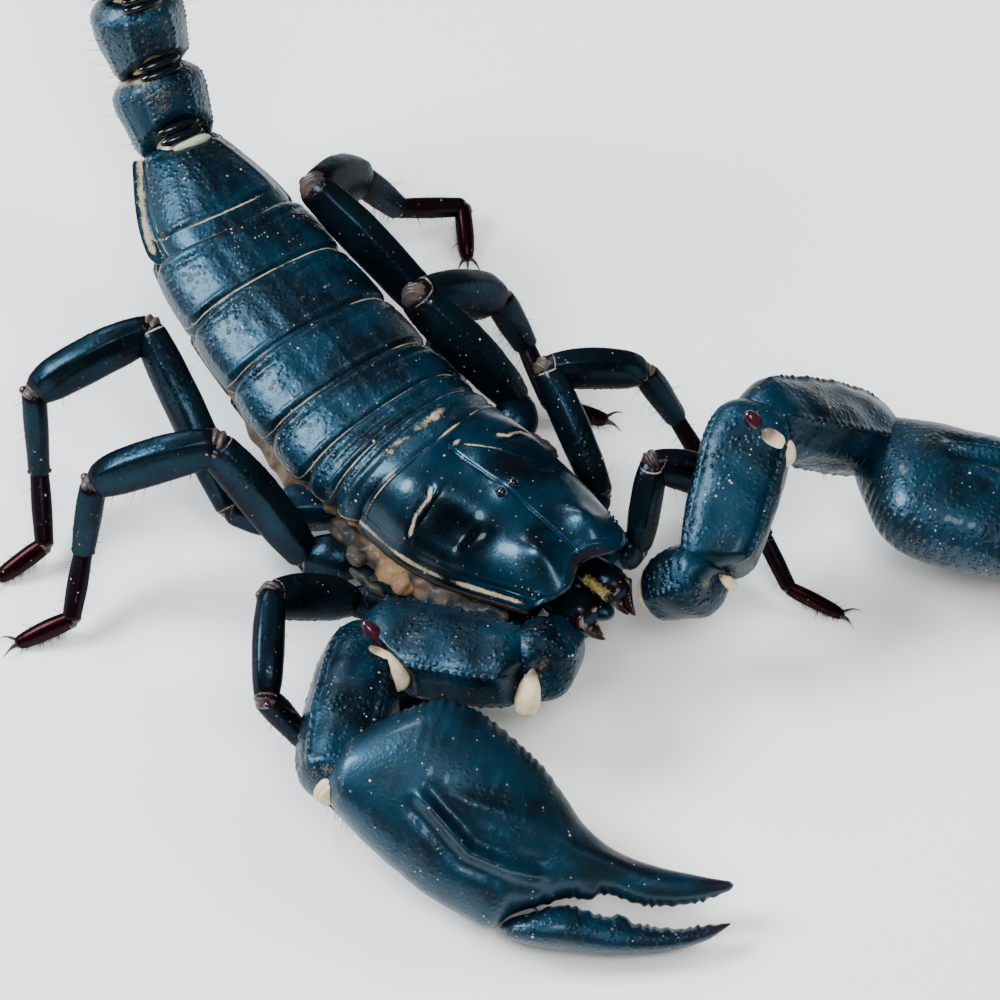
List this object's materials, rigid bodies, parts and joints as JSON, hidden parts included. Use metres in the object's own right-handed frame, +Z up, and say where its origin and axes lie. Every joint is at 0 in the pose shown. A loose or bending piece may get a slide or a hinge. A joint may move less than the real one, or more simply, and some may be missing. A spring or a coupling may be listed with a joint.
{
  "type": "scorpion model",
  "caption": "Still life-size model of a dark forest scorpion, standing with open pincers and its tail raised.",
  "frame": {"origin": "on the floor, under the centre of the model's box", "axes": "+Z up; the head end and pincers toward -Y, the tail toward +Y; the animal's left side toward +X"},
  "size_m": [0.0798, 0.0983, 0.059],
  "materials": {
    "shell": "glossy blue-black cuticle with fine granules and tan dust",
    "membrane": "soft pale brown joint skin, faint pleats",
    "eye": "polished black",
    "claw": "dark red-brown, smooth"
  },
  "bodies": {
    "root": {"carapace": "shell", "tergite_1": "shell", "tergite_2": "shell", "tergite_3": "shell", "tergite_4": "shell", "tergite_5": "shell", "tergite_6": "shell", "tergite_7": "shell", "belly": "membrane", "coxosternum": "shell", "median_eye_left": "eye", "median_eye_right": "eye", "chelicera_left": "shell", "chelicera_right": "shell", "pectine_left": "membrane", "pectine_right": "membrane", "tail_1": "shell", "tail_2": "shell", "tail_3": "shell", "tail_4": "shell", "tail_5": "shell", "vesicle": "shell", "sting": "claw", "leg_left_1_femur": "shell", "leg_left_1_patella": "shell", "leg_left_1_foot": "shell", "leg_left_2_femur": "shell", "leg_left_2_patella": "shell", "leg_left_2_foot": "shell", "leg_left_3_femur": "shell", "leg_left_3_patella": "shell", "leg_left_3_foot": "shell", "leg_left_4_femur": "shell", "leg_left_4_patella": "shell", "leg_left_4_foot": "shell", "pedipalp_left_trochanter": "shell", "pedipalp_left_femur": "shell", "pedipalp_left_patella": "shell", "pedipalp_left_hand": "shell", "pedipalp_left_finger": "shell", "leg_right_1_femur": "shell", "leg_right_1_patella": "shell", "leg_right_1_foot": "shell", "leg_right_2_femur": "shell", "leg_right_2_patella": "shell", "leg_right_2_foot": "shell", "leg_right_3_femur": "shell", "leg_right_3_patella": "shell", "leg_right_3_foot": "shell", "leg_right_4_femur": "shell", "leg_right_4_patella": "shell", "leg_right_4_foot": "shell", "pedipalp_right_trochanter": "shell", "pedipalp_right_femur": "shell", "pedipalp_right_patella": "shell", "pedipalp_right_hand": "shell", "pedipalp_right_finger": "shell"}
  },
  "joints": []
}
